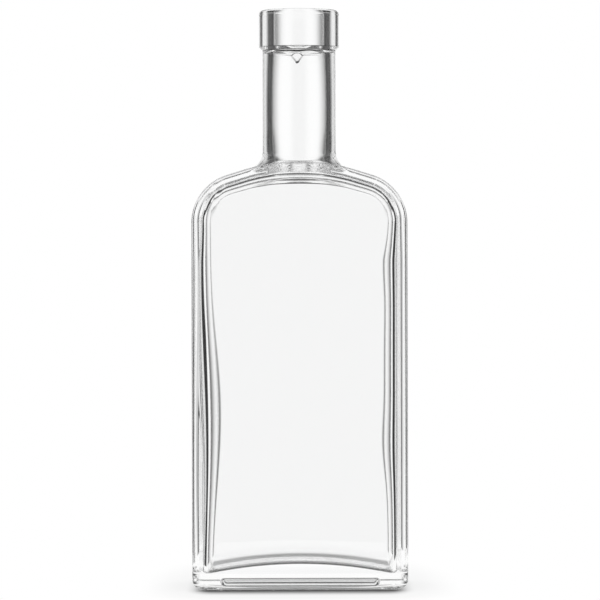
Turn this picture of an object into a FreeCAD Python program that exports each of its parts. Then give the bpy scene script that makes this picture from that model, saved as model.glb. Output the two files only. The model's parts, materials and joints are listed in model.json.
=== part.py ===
import FreeCAD, Part
import math
import os

import Sketcher

# A flat clear-glass bottle with a cork finish: one moulded piece of glass, open at the mouth.
# Millimetres. The origin is under the middle of the base, +Z is up, X runs along the width
# and the front face looks along -Y.

# Driving dimensions: name, value, what it is.
DIMENSIONS = [
    ("body_width", 81.4, "across the flat sides"),
    ("body_depth", 55.0, "front face to back face"),
    ("side_height", 138.7, "table to the start of the shoulder curve"),
    ("shoulder_radius", 18.7, "curve from the sides into the shoulder"),
    ("shoulder_slope", 17.3, "fall of the shoulder in degrees"),
    ("slope_length", 6.5, "straight stretch of the shoulder"),
    ("edge_round", 5.5, "rounding of the front and back edges"),
    ("heel_radius", 3.8, "rounding around the base"),
    ("side_wall", 4.4, "glass at the sides and shoulder"),
    ("face_wall", 4.0, "glass at the front and back faces"),
    ("inside_round", 4.0, "rounding of the front and back edges of the inside"),
    ("floor_height", 6.2, "inner floor at the sides, above the table"),
    ("floor_arch", 4.0, "rise of the inner floor in the middle"),
    ("floor_round", 1.7, "rounding between the inner floor and the walls"),
    ("neck_bore", 20.0, "inside of the neck at its two ends"),
    ("neck_swell", 0.55, "widening of the neck's inside at mid height, on the radius"),
    ("neck_wall", 3.95, "glass at the two ends of the neck"),
    ("neck_top", 204.5, "table to the end of the neck under the lip"),
    ("neck_flare", 4.5, "curve from the neck into the shoulder"),
    ("throat_round", 8.5, "curve from the neck's inside into the body's inside"),
    ("lip_wall", 5.8, "glass at the lip band"),
    ("lip_slant", 1.3, "height of the slanting underside of the lip"),
    ("lip_height", 15.5, "end of the neck to the top of the bottle"),
    ("lip_round", 1.8, "outer corner of the lip"),
    ("lip_crown", 0.2, "rise of the lip's top from its corner to the mouth"),
    ("cork_bore", 19.0, "inside of the mouth, where a stopper seats"),
    ("cork_depth", 15.6, "end of the stopper's seat, below the top"),
    ("mouth_round", 1.4, "lead-in at the mouth"),
    ("recess_width", 61.0, "hollow under the base, along the width"),
    ("recess_depth", 31.0, "hollow under the base, front to back"),
    ("recess_corner", 3.0, "corners of the hollow under the base"),
    ("recess_height", 4.6, "hollow under the base, above the table"),
    ("recess_round", 1.9, "rounding around the top of the hollow under the base"),
    ("stud_diameter", 2.4, "one of the small feet around the base"),
    ("stud_height", 0.5, "how far the small feet stand proud"),
    ("stud_pitch", 6.6, "spacing of the small feet"),
]

# Slack for telling which edges lie in a plane, and which are about a given size.
NEAR = 0.01
ABOUT = 1.0

doc = FreeCAD.newDocument("glass_bottle")


def make_sheet():
    """Write the driving dimensions to a sheet, one aliased cell each."""
    sheet = doc.addObject("Spreadsheet::Sheet", "dims")
    for row, (alias, value, meaning) in enumerate(DIMENSIONS, start=1):
        sheet.set(f"A{row}", alias)
        sheet.set(f"B{row}", str(value))
        sheet.setAlias(f"B{row}", alias)
        sheet.set(f"C{row}", meaning)
    doc.recompute()


make_sheet()
body = doc.addObject("PartDesign::Body", "glass_bottle")
body.Label = "glass_bottle"
body.Placement = FreeCAD.Placement()


def value_of(expression):
    """The number that an expression on the sheet's aliases stands for."""
    return float(body.evalExpression(expression))


def origin_item(role):
    """One of the body's own origin planes or axes."""
    return next(item for item in body.Origin.OriginFeatures if item.Role == role)


def new_sketch(name, role):
    """An empty sketch on one of the body's own planes."""
    sketch = body.newObject("Sketcher::SketchObject", name)
    sketch.AttachmentSupport = [(origin_item(role), "")]
    sketch.MapMode = "FlatFace"
    return sketch


def bind(sketch, constraint, expression):
    """Add a dimension to a sketch and tie it to the sheet."""
    index = sketch.addConstraint(constraint)
    sketch.setExpression(f"Constraints[{index}]", expression)


def bind_point(sketch, shape, point, across, up):
    """Tie a point's distances from the sketch's origin to the sheet."""
    bind(sketch, Sketcher.Constraint("DistanceX", -1, 1, shape, point, value_of(across)), across)
    bind(sketch, Sketcher.Constraint("DistanceY", -1, 1, shape, point, value_of(up)), up)


def arc_between(start, end, radius, turn):
    """The short arc from start to end; turn is 1 for anticlockwise and -1 for clockwise."""
    chord = end - start
    rise = radius - math.sqrt(radius ** 2 - (chord.Length / 2) ** 2)
    outward = FreeCAD.Vector(chord.y, -chord.x, 0).normalize()
    middle = (start + end) * 0.5 + outward * (rise * turn)
    return Part.Arc(start, middle, end)


def draw(sketch, corners):
    """Draw a closed outline. A corner is (across, up), and a line runs from it to the next one,
    or (across, up, radius, turn), and an arc does. All but turn are sheet expressions."""
    points = [FreeCAD.Vector(value_of(corner[0]), value_of(corner[1]), 0) for corner in corners]
    stretches = []
    for here, corner in enumerate(corners):
        start = points[here]
        end = points[(here + 1) % len(points)]
        if len(corner) == 2:
            shape = sketch.addGeometry(Part.LineSegment(start, end), False)
            stretches.append((shape, 1, 2))
            continue
        radius = corner[2]
        turn = corner[3]
        shape = sketch.addGeometry(arc_between(start, end, value_of(radius), turn), False)
        bind(sketch, Sketcher.Constraint("Radius", shape, value_of(radius)), radius)
        stretches.append((shape, 1, 2) if turn > 0 else (shape, 2, 1))
    for here, corner in enumerate(corners):
        shape, first, last = stretches[here]
        next_shape, next_first, _ = stretches[(here + 1) % len(stretches)]
        sketch.addConstraint(Sketcher.Constraint("Coincident", shape, last, next_shape, next_first))
        bind_point(sketch, shape, first, corner[0], corner[1])
    doc.recompute()


def add(kind, name, profile=None, **sizes):
    """Add a feature to the body, with its sizes tied to the sheet."""
    feature = body.newObject(f"PartDesign::{kind}", name)
    if profile:
        feature.Profile = profile
    for size, expression in sizes.items():
        feature.setExpression(size, expression)
    return feature


def extrude(kind, name, outline, length):
    """Draw an outline out equally to both sides, as glass or as empty space."""
    feature = add(kind, name, outline, Length=length)
    feature.SideType = "Symmetric"
    doc.recompute()
    return feature


def turn_about_axis(kind, name, outline):
    """Turn a half outline about the bottle's axis, as glass or as empty space."""
    feature = add(kind, name, outline)
    feature.ReferenceAxis = (origin_item("Z_Axis"), [""])
    feature.Angle = 360
    doc.recompute()
    return feature


def round_edges(name, base, radius, chosen):
    """Round the edges of the base feature whose boxes are chosen."""
    edges = enumerate(base.Shape.Edges, start=1)
    names = [f"Edge{number}" for number, edge in edges if chosen(edge.BoundBox)]
    feature = add("Fillet", name, Radius=radius)
    feature.Base = (base, names)
    doc.recompute()
    return feature


def flat_at(low, high, level):
    """True for an edge that lies in the plane at this level, or in the one facing it."""
    return high - low < NEAR and abs(abs(low) - level) < NEAR


def reach_x(box):
    return max(box.XMax, -box.XMin)


def reach_y(box):
    return max(box.YMax, -box.YMin)


def shoulder_corners(inset):
    """The front outline above the sides, right to left, this far inside the glass, and its top."""
    side = f"(dims.body_width / 2 - {inset})"
    curve = f"(dims.shoulder_radius - {inset})"
    slope_x = f"({side} - {curve} * (1 - sin(dims.shoulder_slope)))"
    slope_z = f"(dims.side_height + {curve} * cos(dims.shoulder_slope))"
    crown_x = f"({slope_x} - dims.slope_length * cos(dims.shoulder_slope))"
    crown_z = f"({slope_z} + dims.slope_length * sin(dims.shoulder_slope))"
    crown = f"({crown_x} / sin(dims.shoulder_slope))"
    top = f"({crown_z} + {crown} * (1 - cos(dims.shoulder_slope)))"
    corners = [
        (side, "dims.side_height", curve, 1),
        (slope_x, slope_z),
        (crown_x, crown_z, crown, 1),
        (f"-{crown_x}", crown_z),
        (f"-{slope_x}", slope_z, curve, 1),
        (f"-{side}", "dims.side_height"),
    ]
    return corners, top


HALF_WIDTH = "(dims.body_width / 2)"
HALF_DEPTH = "(dims.body_depth / 2)"
BOTTLE_TOP = "(dims.neck_top + dims.lip_height)"
NECK = "(dims.neck_bore / 2 + dims.neck_wall)"
MOUTH = "(dims.cork_bore / 2 + dims.mouth_round)"
RECESS_X = "(dims.recess_width / 2)"
RECESS_Y = "(dims.recess_depth / 2)"


def make_body_block():
    """The front outline drawn through the whole depth, with rounded edges and heel."""
    shoulder, _ = shoulder_corners("0")
    outline = new_sketch("front_outline", "XZ_Plane")
    draw(outline, [
        (f"-{HALF_WIDTH}", "dims.stud_height"),
        (HALF_WIDTH, "dims.stud_height"),
        *shoulder,
    ])
    block = extrude("Pad", "body_block", outline, "dims.body_depth")
    face = value_of(HALF_DEPTH)
    base = value_of("dims.stud_height")

    def front_or_back(box):
        return flat_at(box.YMin, box.YMax, face) and box.ZMax > base + NEAR

    def under(box):
        return flat_at(box.ZMin, box.ZMax, base)

    rounded = round_edges("edge_rounding", block, "dims.edge_round", front_or_back)
    round_edges("heel_rounding", rounded, "dims.heel_radius", under)


def make_neck():
    """The neck and the band of the lip, turned, with a flare into the shoulder."""
    lip = "(dims.cork_bore / 2 + dims.lip_wall)"
    lip_edge = f"({BOTTLE_TOP} - dims.lip_crown)"
    outline = new_sketch("neck_outline", "XZ_Plane")
    draw(outline, [
        ("0", "dims.side_height"),
        (NECK, "dims.side_height"),
        (NECK, "dims.neck_top"),
        (lip, "dims.neck_top + dims.lip_slant"),
        (lip, f"{lip_edge} - dims.lip_round", "dims.lip_round", 1),
        (f"{lip} - dims.lip_round", lip_edge),
        (MOUTH, BOTTLE_TOP),
        ("0", BOTTLE_TOP),
    ])
    neck = turn_about_axis("Revolution", "neck_and_lip", outline)
    radius = value_of(NECK)
    foot = value_of("dims.side_height")
    top = value_of("dims.neck_top")

    def neck_root(box):
        at_neck = reach_x(box) < radius + ABOUT and reach_y(box) < radius + ABOUT
        return at_neck and foot < box.ZMin and box.ZMax < top - NEAR

    round_edges("neck_flare", neck, "dims.neck_flare", neck_root)


def make_inside():
    """The space inside the body: the same shoulder, one wall further in, over an arched floor."""
    floor_half = f"({HALF_WIDTH} - dims.side_wall)"
    floor_curve = f"(({floor_half} ^ 2 + dims.floor_arch ^ 2) / (2 * dims.floor_arch))"
    shoulder, _ = shoulder_corners("dims.side_wall")
    outline = new_sketch("inside_outline", "XZ_Plane")
    draw(outline, [
        (f"-{floor_half}", "dims.floor_height", floor_curve, -1),
        (floor_half, "dims.floor_height"),
        *shoulder,
    ])
    inside = extrude("Pocket", "inside", outline, "dims.body_depth - 2 * dims.face_wall")
    wall_x = value_of(floor_half)
    wall_y = value_of(f"{HALF_DEPTH} - dims.face_wall")
    floor_low = value_of("dims.floor_height")
    floor_high = value_of("dims.floor_height + dims.floor_arch")

    def front_or_back(box):
        return flat_at(box.YMin, box.YMax, wall_y) and box.ZMax > floor_high + NEAR

    def around_floor(box):
        within = reach_x(box) < wall_x + ABOUT and reach_y(box) < wall_y + ABOUT
        return within and floor_low - ABOUT < box.ZMin and box.ZMax < floor_high + ABOUT

    rounded = round_edges("inside_rounding", inside, "dims.inside_round", front_or_back)
    round_edges("floor_rounding", rounded, "dims.floor_round", around_floor)


def make_bore():
    """The way out: throat, neck bore, stopper's seat and mouth, turned about the axis."""
    _, roof = shoulder_corners("dims.side_wall")
    bore = "(dims.neck_bore / 2)"
    seat = "(dims.cork_bore / 2)"
    seat_end = f"({BOTTLE_TOP} - dims.cork_depth)"
    bore_top = f"({seat_end} - abs({bore} - {seat}))"
    bore_foot = f"({roof} + dims.throat_round * 2 / 3)"
    bore_curve = f"((({bore_top} - {bore_foot}) ^ 2 / 4 + dims.neck_swell ^ 2) / (2 * dims.neck_swell))"
    throat = f"({bore} + dims.throat_round)"
    outline = new_sketch("bore_outline", "XZ_Plane")
    draw(outline, [
        ("0", "dims.side_height"),
        (throat, "dims.side_height"),
        (throat, f"{bore_foot} - dims.throat_round", "dims.throat_round", -1),
        (bore, bore_foot, bore_curve, 1),
        (bore, bore_top),
        (seat, seat_end),
        (seat, f"{BOTTLE_TOP} - dims.mouth_round", "dims.mouth_round", -1),
        (MOUTH, BOTTLE_TOP),
        ("0", BOTTLE_TOP),
    ])
    turn_about_axis("Groove", "bore", outline)


def make_recess():
    """The hollow under the base."""
    bend_x = f"({RECESS_X} - dims.recess_corner)"
    bend_y = f"({RECESS_Y} - dims.recess_corner)"
    outline = new_sketch("recess_outline", "XY_Plane")
    draw(outline, [
        (f"-{bend_x}", f"-{RECESS_Y}"),
        (bend_x, f"-{RECESS_Y}", "dims.recess_corner", 1),
        (RECESS_X, f"-{bend_y}"),
        (RECESS_X, bend_y, "dims.recess_corner", 1),
        (bend_x, RECESS_Y),
        (f"-{bend_x}", RECESS_Y, "dims.recess_corner", 1),
        (f"-{RECESS_X}", bend_y),
        (f"-{RECESS_X}", f"-{bend_y}", "dims.recess_corner", 1),
    ])
    recess = add("Pocket", "base_recess", outline, Length="dims.recess_height")
    recess.Reversed = True
    doc.recompute()
    ceiling = value_of("dims.recess_height")

    def around_ceiling(box):
        return flat_at(box.ZMin, box.ZMax, ceiling)

    round_edges("recess_rounding", recess, "dims.recess_round", around_ceiling)


def make_stud_rows(name, along, facing, half_row, offset):
    """A row of small feet along one side of the base, and the same row on the side facing it."""
    count = f"(2 * floor({half_row} / dims.stud_pitch + 0.5))"
    reach = f"(({count} - 1) * dims.stud_pitch)"
    start = f"-{reach} / 2"
    spot = (start, f"-{offset}") if along == "X_Axis" else (f"-{offset}", start)
    sketch = new_sketch(f"{name}_spot", "XY_Plane")
    centre = FreeCAD.Vector(value_of(spot[0]), value_of(spot[1]), 0)
    upward = FreeCAD.Vector(0, 0, 1)
    diameter = "dims.stud_diameter"
    circle = sketch.addGeometry(Part.Circle(centre, upward, value_of(diameter) / 2), False)
    bind(sketch, Sketcher.Constraint("Diameter", circle, value_of(diameter)), diameter)
    bind_point(sketch, circle, 3, *spot)
    stud = add("Pad", f"{name}_stud", sketch, Length="2 * dims.stud_height")
    doc.recompute()
    rows = add("MultiTransform", f"{name}_studs")
    rows.Originals = [stud]
    line = add("LinearPattern", f"{name}_line", Length=reach, Occurrences=count)
    line.Direction = (origin_item(along), [""])
    mirror = add("Mirrored", f"{name}_facing")
    mirror.MirrorPlane = (origin_item(facing), [""])
    rows.Transformations = [line, mirror]
    body.Tip = rows
    doc.recompute()


make_body_block()
make_neck()
make_inside()
make_bore()
make_recess()

# The feet stand along the middle of the ring between the heel and the hollow.
row_x = f"(({RECESS_X} + {HALF_WIDTH} - dims.heel_radius) / 2)"
row_y = f"(({RECESS_Y} + {HALF_DEPTH} - dims.heel_radius) / 2)"
make_stud_rows("front", "X_Axis", "XZ_Plane", row_x, row_y)
make_stud_rows("side", "Y_Axis", "YZ_Plane", row_y, row_x)

for item in doc.Objects:
    if "Invalid" in item.State or "Error" in item.State:
        raise RuntimeError(f"{item.Name} failed: {item.State}")
if body.Shape.isNull() or not body.Shape.isValid() or len(body.Shape.Solids) != 1:
    raise RuntimeError("the bottle isn't one valid solid")

os.makedirs("parts", exist_ok=True)
body.Shape.exportStep(f"parts/{body.Label}.step")
print(f"glass {body.Shape.Volume / 1000:.1f} cm3")
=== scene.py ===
import json
import math

import bpy
import numpy as np
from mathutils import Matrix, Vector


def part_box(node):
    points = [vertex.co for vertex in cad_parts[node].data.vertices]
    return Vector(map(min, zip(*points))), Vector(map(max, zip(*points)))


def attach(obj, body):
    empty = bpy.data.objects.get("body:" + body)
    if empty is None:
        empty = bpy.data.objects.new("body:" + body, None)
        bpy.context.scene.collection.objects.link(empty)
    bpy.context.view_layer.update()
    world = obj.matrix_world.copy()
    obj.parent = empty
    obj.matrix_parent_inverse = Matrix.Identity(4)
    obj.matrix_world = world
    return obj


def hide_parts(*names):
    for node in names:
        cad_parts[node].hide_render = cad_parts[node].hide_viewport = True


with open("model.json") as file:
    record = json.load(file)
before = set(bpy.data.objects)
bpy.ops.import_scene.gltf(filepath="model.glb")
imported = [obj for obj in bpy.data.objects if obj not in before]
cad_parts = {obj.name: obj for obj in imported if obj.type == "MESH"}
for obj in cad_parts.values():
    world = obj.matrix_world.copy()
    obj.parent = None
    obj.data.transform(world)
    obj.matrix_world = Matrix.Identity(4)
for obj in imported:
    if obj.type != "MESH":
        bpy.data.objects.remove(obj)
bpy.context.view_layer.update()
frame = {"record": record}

# A flat clear-glass bottle, drawn as one closed skin of rings. Lengths are in metres.

MM = 0.001
TINY = MM ** 4

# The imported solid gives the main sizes.
NODE = "glass_bottle"
low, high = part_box(NODE)
HALF_WIDTH = (high[0] - low[0]) / 2
HALF_DEPTH = (high[1] - low[1]) / 2
TOP = high[2]
MOUTH = next(mount for mount in frame["record"]["mounts"] if mount["name"] == "mouth")
SEAT_RADIUS = MOUTH["dims"]["r_mm"] * MM

# Body and shoulders.
SIDE_HEIGHT = 138.7 * MM
SHOULDER_RADIUS = 18.7 * MM
SHOULDER_SLOPE = math.radians(17.3)
SLOPE_LENGTH = 6.5 * MM
EDGE_ROUND = 5.5 * MM
HEEL_RADIUS = 3.8 * MM
SIDE_WALL = 4.4 * MM
FACE_WALL = 4.0 * MM
INSIDE_ROUND = 3.0 * MM
CROWN_ROUND_EXTRA = 1.3 * MM
CROWN_ROUND_REACH = 16 * MM
FLOOR_HEIGHT = 6.2 * MM
FLOOR_ARCH = 4.0 * MM
FLOOR_ROUND = 1.7 * MM

# Neck and lip. The flare into the shoulders is wide at the sides and tight at front and back.
NECK_BORE = 10.0 * MM
NECK_SWELL = 0.55 * MM
NECK_RADIUS = 13.95 * MM
NECK_ROOT = SIDE_HEIGHT + 22.8 * MM
NECK_START = NECK_ROOT + 12 * MM
NECK_TOP = 204.5 * MM
NECK_TOP_ROUND = 0.8 * MM
FLARE_SIDE = 5.8 * MM
FLARE_FRONT = 1.0 * MM
THROAT_ROUND = 8.5 * MM
LIP_RADIUS = 15.3 * MM
LIP_SLANT = 1.3 * MM
LIP_LOW_ROUND = 0.55 * MM
LIP_ROUND = 1.6 * MM
LIP_CROWN = 0.2 * MM
SEAT_END = TOP - 15.6 * MM
SEAT_STEP = 0.5 * MM
SEAT_HEIGHTS = (TOP - 6 * MM, TOP - 11 * MM, SEAT_END + SEAT_STEP, SEAT_END)
MOUTH_CHAMFER = 1.4 * MM
MOUTH_EDGE = 0.3 * MM

# Run of glass that hangs from the seat's end, at the back.
DRIP_LENGTH = 3.6 * MM
DRIP_WIDTH = 3.2 * MM
DRIP_TIP = 0.3 * MM
DRIP_LEFT = 0.7 * MM
DRIP_THICKNESS = 0.7 * MM
DRIP_ZONE = 4 * MM

# Waves of the blown inside along the height: size, middle and spread, in mm. They die out towards the
# shoulders. Those of the seat's end go round it: size in mm, number and phase.
LEFT_WALL_WAVES = ((0.5, 38, 30), (-0.35, 118, 26))
LEFT_ROUND_WAVES = ((3.6, 68, 34),)
RIGHT_ROUND_WAVES = ((1.6, 85, 42), (1.4, 54, 14), (1.2, 124, 12))
RIGHT_WALL_EXTRA = 0.25
LEFT_ROUND_EXTRA = 0.3
WAVE_END = 14 * MM
SEAT_WAVES = ((0.12, 5, 1), (0.08, 9, 0))

# Hollow and feet under the base.
RECESS_X = 30.5 * MM
RECESS_Y = 15.5 * MM
RECESS_CORNER = 3.0 * MM
RECESS_HEIGHT = 4.6 * MM
RECESS_ROUND = 1.9 * MM
STUD_RADIUS = 1.2 * MM
STUD_HEIGHT = 0.5 * MM
STUD_PITCH = 6.6 * MM
STUD_STEEPNESS = 1.6
ROW_X = (HALF_WIDTH - HEEL_RADIUS + RECESS_X) / 2
ROW_Y = (HALF_DEPTH - HEEL_RADIUS + RECESS_Y) / 2
TIGHT_CORNER = 0.4 * MM
RECESS_EDGE = 0.25 * MM

# Rings that close the middle of the base and of the floor, as shares of their edge.
BASE_SHARES = (0.02, 0.2, 0.4, 0.6, 0.8)
FLOOR_SHARES = (0.92, 0.84, 0.72, 0.6, 0.45, 0.3, 0.15, 0.02)


# Columns of the skin, as shares of a straight side or of a corner's turn.
def stud_spots(half):
    """Middles of the feet along a row of this half length."""
    count = math.floor(half / STUD_PITCH + 0.5)
    return (np.arange(2 * count) - count + 0.5) * STUD_PITCH


def side_shares(half):
    """Evenly spaced columns, one of them through each foot."""
    spacing = STUD_PITCH / 6
    places = (stud_spots(half)[:, None] + np.arange(-1, 5) * spacing).ravel()
    places = places[np.abs(places) < half - spacing / 4]
    return np.concatenate([[-half], places, [half]]) / half


SHARE_X = side_shares(ROW_X - TIGHT_CORNER)
SHARE_Y = side_shares(ROW_Y - TIGHT_CORNER)
CORNER_TURN = np.linspace(0, math.pi / 2, 26)[1:-1]


def plan_ring(half_x, half_y, corner, left=None, left_corner=None):
    """Points of a rounded rectangle, anticlockwise from the front left. The left may differ."""
    left = half_x if left is None else left
    left_corner = corner if left_corner is None else left_corner
    x = half_x - corner
    y = half_y - corner
    left_x = left - left_corner
    left_y = half_y - left_corner
    across = (x - left_x) / 2 + SHARE_X * (x + left_x) / 2
    sine = np.sin(CORNER_TURN)
    cosine = np.cos(CORNER_TURN)
    parts = [
        (across, np.full_like(SHARE_X, -half_y)),
        (x + corner * sine, -y - corner * cosine),
        (np.full_like(SHARE_Y, half_x), SHARE_Y * y),
        (x + corner * cosine, y + corner * sine),
        (across[::-1], np.full_like(SHARE_X, half_y)),
        (-left_x - left_corner * sine, left_y + left_corner * cosine),
        (np.full_like(SHARE_Y, -left), -SHARE_Y * left_y),
        (-left_x - left_corner * cosine, -left_y - left_corner * sine),
    ]
    return np.concatenate([np.stack(part, 1) for part in parts])


def ring(plan, height):
    return np.column_stack([plan, np.broadcast_to(height, len(plan))])


def circle(radius, height, azimuth):
    return ring(np.stack([radius * np.cos(azimuth), radius * np.sin(azimuth)], 1), height)


def azimuth_of(plan):
    return np.unwrap(np.arctan2(plan[:, 1], plan[:, 0]))


def rounded_path(corners, steps=6):
    """Points along (radius, height, rounding) corners."""
    corners = [np.array(corner, float) for corner in corners]
    path = [corners[0][:2]]
    for before, corner, after in zip(corners, corners[1:], corners[2:]):
        back = before[:2] - corner[:2]
        ahead = after[:2] - corner[:2]
        back /= np.linalg.norm(back)
        ahead /= np.linalg.norm(ahead)
        half = math.acos(np.clip(back @ ahead, -1, 1)) / 2
        reach = corner[2] / math.tan(half)
        middle = (back + ahead) / np.linalg.norm(back + ahead)
        centre = corner[:2] + middle * corner[2] / math.sin(half)
        first = corner[:2] + back * reach - centre
        last = corner[:2] + ahead * reach - centre
        sweep = math.pi - 2 * half
        for t in np.linspace(0, sweep, steps + 1):
            path.append(centre + (math.sin(sweep - t) * first + math.sin(t) * last) / math.sin(sweep))
    path.append(corners[-1][:2])
    return path


# Shoulder and neck, as distances to their surfaces.
def outline_distance(x, z, inset):
    """Signed distance to the front outline, this far inside it, above the middle of the body."""
    x = np.abs(x)
    sine = math.sin(SHOULDER_SLOPE)
    cosine = math.cos(SHOULDER_SLOPE)
    side = HALF_WIDTH - inset
    curve = SHOULDER_RADIUS - inset
    slope_x = side - curve * (1 - sine)
    slope_z = SIDE_HEIGHT + curve * cosine
    crown = (slope_x - SLOPE_LENGTH * cosine) / sine
    crown_centre = slope_z + SLOPE_LENGTH * sine - crown * cosine
    along = (x - slope_x) * cosine - (z - slope_z) * sine
    straight = (x - slope_x) * sine + (z - slope_z) * cosine
    bend = np.hypot(x - side + curve, z - SIDE_HEIGHT) - curve
    crest = np.hypot(x, z - crown_centre) - crown
    upper = np.where(along > 0, bend, np.where(along > -SLOPE_LENGTH, straight, crest))
    return np.where(z < SIDE_HEIGHT, x - side, upper)


def block_distance(points, inset, half_depth, edge):
    """Signed distance to the outline drawn through the depth, with rounded edges."""
    across = outline_distance(points[..., 0], points[..., 2], inset) + edge
    deep = np.abs(points[..., 1]) - (half_depth - edge)
    outside = np.hypot(np.maximum(across, 0), np.maximum(deep, 0))
    return outside + np.minimum(np.maximum(across, deep), 0) - edge


def joined(first, second, radius):
    """Union of two distances, with a fillet of this radius."""
    blend = np.hypot(np.maximum(radius - first, 0), np.maximum(radius - second, 0))
    return np.maximum(radius, np.minimum(first, second)) - blend


def outer_shape(points):
    """Signed distance to the outside of body and neck."""
    block = block_distance(points, 0, HALF_DEPTH, EDGE_ROUND)
    neck = np.hypot(points[..., 0], points[..., 1]) - NECK_RADIUS
    sideways = points[..., 0] ** 2 / (points[..., 0] ** 2 + points[..., 1] ** 2 + TINY)
    flare = FLARE_FRONT + (FLARE_SIDE - FLARE_FRONT) * sideways
    return joined(block, neck, flare)


def bore_radius(height):
    """Inside radius of the neck below the stopper's seat. It is widest halfway down."""
    share = np.clip((height - NECK_ROOT) / (SEAT_END - NECK_ROOT), 0, 1)
    return NECK_BORE + NECK_SWELL * 4 * share * (1 - share)


def inner_shape(points):
    """Signed distance to the inside. Its edges are rounder below the neck."""
    edge = INSIDE_ROUND + CROWN_ROUND_EXTRA * np.exp(-(points[..., 0] / CROWN_ROUND_REACH) ** 2)
    block = block_distance(points, SIDE_WALL, HALF_DEPTH - FACE_WALL, edge)
    bore = np.hypot(points[..., 0], points[..., 1]) - bore_radius(points[..., 2])
    return joined(block, bore, THROAT_ROUND)


def leave(distance, azimuth, elevation):
    """Points where rays from the axis, at the shoulders' height, leave a shape."""
    way = np.stack([
        np.cos(elevation) * np.cos(azimuth),
        np.cos(elevation) * np.sin(azimuth),
        np.sin(elevation) + 0 * azimuth,
    ], -1)
    inner = np.zeros(way.shape[:2])
    outer = np.full(way.shape[:2], TOP)
    start = np.array([0, 0, SIDE_HEIGHT])
    halvings = 44
    for _ in range(halvings):
        middle = (inner + outer) / 2
        inside = distance(start + way * middle[..., None]) < 0
        inner = np.where(inside, middle, inner)
        outer = np.where(inside, outer, middle)
    return start + way * outer[..., None]


def fan(distance, azimuth, first, last, count):
    """Rings over a shape from one elevation to another, closest where it bends most."""
    spacing = 1.6 * MM
    turning = math.radians(6)
    trials = 500
    even = np.linspace(first, last, trials)
    points = leave(distance, azimuth, even[:, None])
    steps = np.diff(points, axis=0)
    length = np.linalg.norm(steps, axis=2)
    ways = steps / length[..., None]
    turn = np.arccos(np.clip((ways[1:] * ways[:-1]).sum(2), -1, 1))
    cost = length / spacing
    cost[1:] += turn / turning
    travelled = np.concatenate([np.zeros((1, len(azimuth))), np.cumsum(cost, 0)])
    wanted = np.linspace(0, 1, count + 1)
    elevation = np.stack([np.interp(wanted * t[-1], t, even) for t in travelled.T], 1)
    return list(leave(distance, azimuth, elevation))


# Rings from the hollow under the base, up the outside and down the inside to the floor.
def stud_drop(plan):
    """How far a point of the bearing ring is drawn down into one of the small feet."""
    drop = np.zeros(len(plan))
    centres = [(spot, side * ROW_Y) for spot in stud_spots(ROW_X) for side in (-1, 1)]
    centres += [(side * ROW_X, spot) for spot in stud_spots(ROW_Y) for side in (-1, 1)]
    for centre in centres:
        far = np.hypot(*(plan - centre).T) / STUD_RADIUS
        drop = np.maximum(drop, np.clip(STUD_STEEPNESS * (1 - far ** 2), 0, 1))
    return drop * STUD_HEIGHT


def base_rings():
    """From the middle of the hollow under the base out to the heel."""
    rings = []
    for share in BASE_SHARES:
        rings.append(ring(plan_ring(RECESS_X, RECESS_Y, RECESS_CORNER) * share, RECESS_HEIGHT))
    level = STUD_HEIGHT
    path = rounded_path([
        (RECESS_ROUND * 2, RECESS_HEIGHT, 0),
        (0, RECESS_HEIGHT, RECESS_ROUND),
        (0, level, RECESS_EDGE),
        (-RECESS_EDGE * 4, level, 0),
    ], 7)
    for inset, height in path[1:]:
        plan = plan_ring(RECESS_X - inset, RECESS_Y - inset, RECESS_CORNER - inset)
        rings.append(ring(plan, height))
    for step in np.linspace(-STUD_RADIUS, STUD_RADIUS, 9):
        plan = plan_ring(ROW_X + step, ROW_Y + step, TIGHT_CORNER)
        rings.append(ring(plan, level - stud_drop(plan)))
    for angle in np.linspace(0, math.pi / 2, 13):
        inset = HEEL_RADIUS * (1 - math.sin(angle))
        height = level + HEEL_RADIUS * (1 - math.cos(angle))
        plan = plan_ring(HALF_WIDTH - inset, HALF_DEPTH - inset, EDGE_ROUND - inset)
        rings.append(ring(plan, height))
    return rings


def wall_rings():
    plan = plan_ring(HALF_WIDTH, HALF_DEPTH, EDGE_ROUND)
    heights = np.linspace(STUD_HEIGHT + HEEL_RADIUS, SIDE_HEIGHT, 7)[1:]
    return [ring(plan, height) for height in heights]


def lip_rings(azimuth):
    """Up the neck, around the lip and into the mouth."""
    path = rounded_path([
        (NECK_RADIUS, NECK_START, 0),
        (NECK_RADIUS, NECK_TOP, NECK_TOP_ROUND),
        (LIP_RADIUS, NECK_TOP + LIP_SLANT, LIP_LOW_ROUND),
        (LIP_RADIUS, TOP - LIP_CROWN, LIP_ROUND),
        (SEAT_RADIUS + MOUTH_CHAMFER, TOP, MOUTH_EDGE),
        (SEAT_RADIUS, TOP - MOUTH_CHAMFER, MOUTH_EDGE),
        (SEAT_RADIUS, SEAT_END, 0),
    ], 8)
    return [circle(radius, height, azimuth) for radius, height in path[1:-1]]


def drip(azimuth, height):
    """How far the run of glass stands out of the bore. It narrows downwards."""
    down = np.clip((SEAT_END - height) / DRIP_LENGTH, 0, 1)
    width = DRIP_WIDTH * (1 - down) + DRIP_TIP
    across = SEAT_RADIUS * np.cos(azimuth) + DRIP_LEFT
    behind = np.sin(azimuth) > 0
    thickness = DRIP_THICKNESS * np.maximum(0, 1 - (across / width) ** 2)
    return np.where(behind & (down < 1), thickness, 0)


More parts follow.
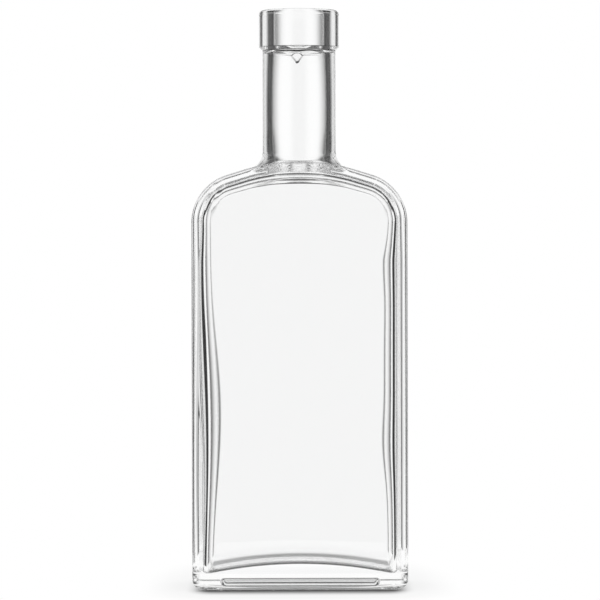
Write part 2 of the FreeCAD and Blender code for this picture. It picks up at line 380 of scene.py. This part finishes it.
def bore_rings(azimuth, inner_azimuth):
    """Stopper's seat and neck, inside. The seat's end is a little uneven."""
    rings = []
    uneven = sum(size * MM * np.sin(number * azimuth + phase) for size, number, phase in SEAT_WAVES)
    for height in SEAT_HEIGHTS:
        rings.append(circle(SEAT_RADIUS, height + uneven, azimuth))
    foot = SEAT_END - SEAT_STEP
    upper = np.linspace(foot, foot - DRIP_ZONE, 11)
    lower = np.linspace(foot - DRIP_ZONE, NECK_START, 16)
    for height in np.concatenate([upper, lower[1:]]):
        share = (foot - height) / (foot - NECK_START)
        radius = bore_radius(height) - drip(azimuth, height)
        turned = azimuth + (inner_azimuth - azimuth) * share
        rings.append(circle(radius, height + uneven * (1 - share), turned))
    return rings


def waves(height, bumps):
    """Sum of smooth bumps along the height, in mm."""
    return sum(
        size * math.exp(-(((height / MM - middle) / spread) ** 2)) for size, middle, spread in bumps)


def inner_plan(height):
    """Inside of the body at this height. Blown glass lies unevenly, so walls and corners vary."""
    free = min(1, (SIDE_HEIGHT - height) / WAVE_END) * MM
    left = SIDE_WALL + free * waves(height, LEFT_WALL_WAVES)
    right = SIDE_WALL + free * RIGHT_WALL_EXTRA
    left_round = INSIDE_ROUND + free * (LEFT_ROUND_EXTRA + waves(height, LEFT_ROUND_WAVES))
    right_round = INSIDE_ROUND + free * waves(height, RIGHT_ROUND_WAVES)
    half_y = HALF_DEPTH - FACE_WALL
    return plan_ring(HALF_WIDTH - right, half_y, right_round, HALF_WIDTH - left, left_round)


def floor_level(plan):
    """Height of the inner floor, arched up in the middle of the width."""
    share = plan[:, 0] / (HALF_WIDTH - SIDE_WALL)
    return FLOOR_HEIGHT + FLOOR_ARCH * (1 - share ** 2)


def inside_rings():
    """Down the inside walls, round into the floor and to its middle."""
    rings = []
    lowest = FLOOR_HEIGHT + FLOOR_ROUND
    for share in np.linspace(1, 0, 66)[1:]:
        plan = inner_plan(lowest + (SIDE_HEIGHT - lowest) * share)
        foot = floor_level(plan) + FLOOR_ROUND
        rings.append(ring(plan, foot + (SIDE_HEIGHT - foot) * share))
    reach = np.array([HALF_WIDTH - SIDE_WALL, HALF_DEPTH - FACE_WALL])
    for angle in np.linspace(0, math.pi / 2, 9)[1:]:
        edge = plan * (1 - FLOOR_ROUND * (1 - math.cos(angle)) / reach)
        rings.append(ring(edge, floor_level(edge) + FLOOR_ROUND * (1 - math.sin(angle))))
    for share in FLOOR_SHARES:
        rings.append(ring(edge * share, floor_level(edge * share)))
    return rings


def all_rings():
    azimuth = azimuth_of(plan_ring(HALF_WIDTH, HALF_DEPTH, EDGE_ROUND))
    inner_azimuth = azimuth_of(inner_plan(SIDE_HEIGHT))
    outer_end = math.atan2(NECK_START - SIDE_HEIGHT, NECK_RADIUS)
    inner_end = math.atan2(NECK_START - SIDE_HEIGHT, bore_radius(NECK_START))
    outer_count = 62
    inner_count = 56
    rings = base_rings() + wall_rings()
    rings += fan(outer_shape, azimuth, 0, outer_end, outer_count)[1:]
    rings += lip_rings(azimuth)
    rings += bore_rings(azimuth, inner_azimuth)
    rings += fan(inner_shape, inner_azimuth, inner_end, 0, inner_count)[1:]
    return rings + inside_rings()


def area_normals(vertices, faces):
    """Normals of the points, in which a large face counts for more than a small one."""
    normals = np.zeros_like(vertices)
    for size in (3, 4):
        corners = np.array([face for face in faces if len(face) == size])
        first = vertices[corners[:, 2]] - vertices[corners[:, 0]]
        second = vertices[corners[:, size - 1]] - vertices[corners[:, 1]]
        area = np.cross(first, second)
        for k in range(size):
            np.add.at(normals, corners[:, k], area)
    return normals / np.linalg.norm(normals, axis=1)[:, None]


def make_skin(name, rings):
    """One closed mesh over the rings, with a point in the middle of the first and last."""
    count = len(rings[0])
    vertices = np.concatenate(rings + [[rings[0].mean(0), rings[-1].mean(0)]])
    first_middle = len(vertices) - 2
    last_middle = len(vertices) - 1
    last_ring = (len(rings) - 1) * count
    faces = []
    for k in range(count):
        following = (k + 1) % count
        faces.append((following, k, first_middle))
        faces.append((last_ring + k, last_ring + following, last_middle))
        for start in range(0, last_ring, count):
            upper = start + count
            faces.append((start + k, start + following, upper + following, upper + k))
    mesh = bpy.data.meshes.new(name)
    mesh.from_pydata(vertices.tolist(), [], faces)
    mesh.shade_smooth()
    mesh.normals_split_custom_set_from_vertices(area_normals(vertices, faces).tolist())
    piece = bpy.data.objects.new(name, mesh)
    bpy.context.collection.objects.link(piece)
    return piece


# Nodes of the materials.
def wire(tree, socket, value):
    """Give an input a plain value, or link it to an output."""
    if isinstance(value, bpy.types.NodeSocket):
        tree.links.new(value, socket)
    else:
        socket.default_value = value


def calculate(tree, operation, *values):
    node = tree.nodes.new("ShaderNodeMath")
    node.operation = operation
    for socket, value in zip(node.inputs, values):
        wire(tree, socket, value)
    return node.outputs[0]


def fade(tree, value, start, end, first, last):
    """Smoothly from first to last while the value goes from start to end."""
    node = tree.nodes.new("ShaderNodeMapRange")
    node.interpolation_type = "SMOOTHSTEP"
    wire(tree, node.inputs["Value"], value)
    wire(tree, node.inputs["From Min"], start)
    wire(tree, node.inputs["From Max"], end)
    wire(tree, node.inputs["To Min"], first)
    wire(tree, node.inputs["To Max"], last)
    return node.outputs["Result"]


def place(tree):
    return tree.nodes.new("ShaderNodeTexCoord").outputs["Object"]


def noise(tree, scale, detail):
    node = tree.nodes.new("ShaderNodeTexNoise")
    wire(tree, node.inputs["Vector"], place(tree))
    node.inputs["Scale"].default_value = scale
    node.inputs["Detail"].default_value = detail
    return node.outputs["Fac"]


def new_material(name):
    material = bpy.data.materials.new(name)
    material.use_nodes = True
    return material, material.node_tree, material.node_tree.nodes["Principled BSDF"]


def glass_material():
    """Clear flint glass: faint changes of tint, a polished skin and a soft ripple."""
    material, tree, shader = new_material("flint_glass")
    tint = tree.nodes.new("ShaderNodeMix")
    tint.data_type = "RGBA"
    wire(tree, tint.inputs["Factor"], noise(tree, 30, 2))
    tint.inputs["A"].default_value = (0.992, 0.994, 0.993, 1)
    tint.inputs["B"].default_value = (0.994, 0.995, 0.995, 1)
    wire(tree, shader.inputs["Base Color"], tint.outputs["Result"])
    wire(tree, shader.inputs["Roughness"], fade(tree, noise(tree, 90, 4), 0.55, 0.8, 0.0, 0.02))
    ripple = tree.nodes.new("ShaderNodeBump")
    ripple.inputs["Strength"].default_value = 0.3
    ripple.inputs["Distance"].default_value = 0.02 * MM
    wire(tree, ripple.inputs["Height"], noise(tree, 70, 1))
    wire(tree, shader.inputs["Normal"], ripple.outputs["Normal"])
    shader.inputs["IOR"].default_value = 1.52
    shader.inputs["Transmission Weight"].default_value = 1.0
    return material


bottle = make_skin("glass_bottle_skin", all_rings())
bottle.data.materials.append(glass_material())
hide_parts(NODE)
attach(bottle, "root")


# Stage: a pale floor and a studio surround that only the glass shows. The floor's shade is partly the
# bottle's real shadow and partly a painted shadow in its colour.
# It depends on the distance from a block at the bottle's foot, which counts for more at the sides and
# in front.
FLOOR_RADIUS = 0.2
SHADE_FRONT = -HALF_DEPTH + 5 * MM
SHADE_BACK = HALF_DEPTH + 3 * MM
SHADE_SIDE = HALF_WIDTH - 8 * MM
SHADE_NEAR = 0.008
SHADE_SOFT = 0.045
SHADE_END = 0.12
SHADE_DEEP = 0.1
SHADE_LEVEL = 0.8
SHADE_SIDE_RATE = 4.0
SHADE_FRONT_RATE = 2.0
SURROUND_RADIUS = 0.9
SURROUND_LOW = -0.6
SURROUND_TOP = 0.75

# Directions in the surround, as turns away from straight behind the bottle.
PANEL_EDGE = (math.radians(8), math.radians(40))
SIDE_EDGE = (math.radians(64), math.radians(78))
FRONT_EDGE = (math.radians(138), math.radians(168))
GAP_WIDER = math.radians(7)

# Places in the surround and in its lid where the light fades, and the levels it fades to.
GAP_NARROWS = (0.14, 0.18)
PANEL_TOP = (0.36, 0.5)
PANEL_FRONT = (-0.2, 0.2)
BELOW_FLOOR = (-0.16, -0.08)
LID_FRONT = (-0.42, 0.0)
LID_BACK = (0.05, 0.42)
GAP_LEVEL = 0.02
FRONT_LEVEL = 0.5
LID_FRONT_LEVEL = 0.7
LID_BACK_LEVEL = 0.04


def light_seen(tree):
    """One for rays from the camera, a reflection or the glass, none for light on other things."""
    path = tree.nodes.new("ShaderNodeLightPath")
    direct = calculate(tree, "MAXIMUM", path.outputs["Is Camera Ray"], path.outputs["Is Glossy Ray"])
    return calculate(tree, "MAXIMUM", direct, path.outputs["Is Transmission Ray"])


def floor_material():
    """Pale and matt, going over to plain white. Near the bottle's foot the bottle's real shadow shows,
    and a painted shadow greys the floor's colour there too.
    """
    material, tree, shader = new_material("floor_white_painted_shadow")
    shader.inputs["Roughness"].default_value = 1.0
    shader.inputs["Specular IOR Level"].default_value = 0.0
    split = tree.nodes.new("ShaderNodeSeparateXYZ")
    wire(tree, split.inputs[0], place(tree))
    across = calculate(tree, "SUBTRACT", calculate(tree, "ABSOLUTE", split.outputs["X"]), SHADE_SIDE)
    side = calculate(tree, "MULTIPLY", calculate(tree, "MAXIMUM", across, 0.0), SHADE_SIDE_RATE)
    before = calculate(tree, "SUBTRACT", SHADE_FRONT, split.outputs["Y"])
    ahead = calculate(tree, "MULTIPLY", before, SHADE_FRONT_RATE)
    behind = calculate(tree, "SUBTRACT", split.outputs["Y"], SHADE_BACK)
    deep = calculate(tree, "MAXIMUM", calculate(tree, "MAXIMUM", ahead, behind), 0.0)
    side_square = calculate(tree, "POWER", side, 2.0)
    deep_square = calculate(tree, "POWER", deep, 2.0)
    away = calculate(tree, "SQRT", calculate(tree, "ADD", side_square, deep_square))
    # Painted shadow: the floor's colour is grey near the bottle's foot, most of all behind it, and
    # turns pale further off.
    painted_shadow = tree.nodes.new("ShaderNodeMix")
    painted_shadow.data_type = "RGBA"
    wire(tree, painted_shadow.inputs["Factor"], fade(tree, away, SHADE_NEAR, SHADE_SOFT, 0.0, 1.0))
    painted_shadow.inputs["A"].default_value = (0.5, 0.5, 0.5, 1)
    painted_shadow.inputs["B"].default_value = (0.95, 0.95, 0.95, 1)
    wire(tree, shader.inputs["Base Color"], painted_shadow.outputs["Result"])
    near = fade(tree, away, SHADE_NEAR, SHADE_SOFT, SHADE_DEEP, SHADE_LEVEL)
    far = fade(tree, away, SHADE_SOFT, SHADE_END, 0.0, 1 - SHADE_LEVEL)
    share = calculate(tree, "MULTIPLY", calculate(tree, "ADD", near, far), light_seen(tree))
    white = tree.nodes.new("ShaderNodeEmission")
    mix = tree.nodes.new("ShaderNodeMixShader")
    wire(tree, mix.inputs[0], share)
    wire(tree, mix.inputs[1], shader.outputs[0])
    wire(tree, mix.inputs[2], white.outputs[0])
    wire(tree, tree.nodes["Material Output"].inputs["Surface"], mix.outputs[0])
    return material


def shining(name, strength):
    """A material that only shines. The strength is worked out from the place by a function."""
    material, tree, shader = new_material(name)
    tree.nodes.remove(shader)
    split = tree.nodes.new("ShaderNodeSeparateXYZ")
    wire(tree, split.inputs[0], place(tree))
    shine = tree.nodes.new("ShaderNodeEmission")
    wire(tree, shine.inputs["Strength"], strength(tree, *split.outputs))
    wire(tree, tree.nodes["Material Output"].inputs["Surface"], shine.outputs[0])
    return material


def surround_strength(tree, x, y, z):
    """A panel behind, dark gaps beside it, bright sides, a dimmer front, and bright below the floor."""
    turn = calculate(tree, "ARCTAN2", calculate(tree, "ABSOLUTE", x), y)
    wider = fade(tree, z, *GAP_NARROWS, GAP_WIDER, 0.0)
    panel_end = calculate(tree, "SUBTRACT", PANEL_EDGE[1], wider)
    side_start = calculate(tree, "ADD", SIDE_EDGE[0], wider)
    side_end = calculate(tree, "ADD", SIDE_EDGE[1], wider)
    panel = fade(tree, turn, PANEL_EDGE[0], panel_end, 1.0, GAP_LEVEL)
    side = fade(tree, turn, side_start, side_end, 0.0, 1.0)
    front = fade(tree, turn, *FRONT_EDGE, 1.0, FRONT_LEVEL)
    around = calculate(tree, "MAXIMUM", panel, calculate(tree, "MULTIPLY", side, front))
    level = calculate(tree, "MAXIMUM", around, fade(tree, z, *BELOW_FLOOR, 1.0, 0.0))
    above = fade(tree, z, *PANEL_TOP, 0.0, 1.0)
    behind = fade(tree, y, *PANEL_FRONT, 0.0, 1.0)
    cut = calculate(tree, "SUBTRACT", 1.0, calculate(tree, "MULTIPLY", above, behind))
    return calculate(tree, "MULTIPLY", level, cut)


def lid_strength(tree, x, y, z):
    """Light from above, dimmer above the front and dark above the back."""
    front = fade(tree, y, *LID_FRONT, LID_FRONT_LEVEL, 1.0)
    back = fade(tree, y, *LID_BACK, 1.0, LID_BACK_LEVEL)
    return calculate(tree, "MINIMUM", front, back)


def add_to_stage(name, material):
    piece = bpy.context.object
    piece.name = name
    piece.data.materials.append(material)
    return piece


def hide_from_light(piece):
    """Only reflections and the glass show this piece. It neither lights nor shades the floor."""
    piece.visible_camera = False
    piece.visible_shadow = False
    piece.visible_diffuse = False


def make_stage():
    bpy.ops.mesh.primitive_circle_add(radius=FLOOR_RADIUS, vertices=96, fill_type="NGON")
    add_to_stage("floor", floor_material())
    height = SURROUND_TOP - SURROUND_LOW
    bpy.ops.mesh.primitive_cylinder_add(
        radius=SURROUND_RADIUS, depth=height, vertices=128, end_fill_type="NOTHING")
    wall = add_to_stage("surround", shining("studio_surround", surround_strength))
    for corner in wall.data.vertices:
        corner.co.z += SURROUND_LOW + height / 2
    hide_from_light(wall)
    bpy.ops.mesh.primitive_circle_add(
        radius=SURROUND_RADIUS, vertices=128, fill_type="NGON", location=(0, 0, SURROUND_TOP))
    hide_from_light(add_to_stage("lid", shining("studio_lid", lid_strength)))


def make_world():
    """White where it is seen, and slightly dimmer as the level light on everything."""
    level_light = 0.9
    world = bpy.data.worlds.new("studio")
    bpy.context.scene.world = world
    world.use_nodes = True
    tree = world.node_tree
    back = tree.nodes["Background"]
    back.inputs["Color"].default_value = (1, 1, 1, 1)
    wire(tree, back.inputs["Strength"], fade(tree, light_seen(tree), 0.0, 1.0, level_light, 1.0))


make_stage()
make_world()

# Camera: a long lens far off, a little above the bottle's middle, turned a little about its axis.
# The picture's width, the focal length and the horizon are in pixels.
PICTURE = 600
FOCAL = 3900
HORIZON = 270
DISTANCE = 1.49
CAMERA_HEIGHT = 120.8 * MM
CAMERA_X = 0.19 * MM
ROLL = math.radians(0.143)


def make_camera():
    data = bpy.data.cameras.new("camera")
    camera = bpy.data.objects.new("camera", data)
    bpy.context.collection.objects.link(camera)
    data.sensor_width = 36
    data.lens = data.sensor_width * FOCAL / PICTURE
    data.clip_end = 50
    tilt = math.atan((PICTURE / 2 - HORIZON) / FOCAL)
    camera.location = (CAMERA_X, -DISTANCE, CAMERA_HEIGHT)
    camera.rotation_euler = (math.pi / 2 - tilt, ROLL, 0)
    bpy.context.scene.camera = camera


make_camera()

# Light runs a long way inside the glass, so it may bounce often.
BOUNCES = 128
scene = bpy.context.scene
scene.view_settings.view_transform = "Standard"
scene.cycles.max_bounces = BOUNCES
scene.cycles.transmission_bounces = BOUNCES
scene.cycles.glossy_bounces = BOUNCES
scene.cycles.diffuse_bounces = 4
scene.cycles.use_denoising = True
scene.cycles.caustics_refractive = False
scene.cycles.caustics_reflective = False
